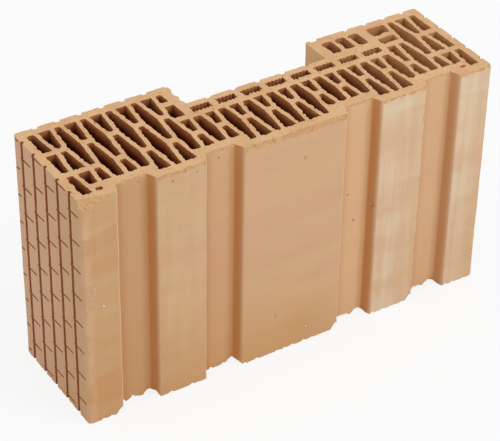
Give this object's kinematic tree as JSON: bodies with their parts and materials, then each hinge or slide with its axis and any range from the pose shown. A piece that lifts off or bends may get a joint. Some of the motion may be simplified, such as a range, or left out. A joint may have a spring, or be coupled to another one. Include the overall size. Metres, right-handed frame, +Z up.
{
  "type": "perforated clay block",
  "caption": "Half end block of fired clay with diamond perforation, serrated slots, a tongue-and-groove head face, keyed plaster faces and an insulation pocket for window and door reveals.",
  "frame": {"origin": "centre of the lower bed face, on the surface that the block stands on", "axes": "+X along the length of the block, +Y from the tongued face to the pocket, +Z up"},
  "size_m": [0.44, 0.125, 0.249],
  "materials": {
    "fired_clay": "matt extruded clay, ground bed faces"
  },
  "bodies": {
    "root": {"clay_block": "fired_clay"}
  },
  "joints": []
}
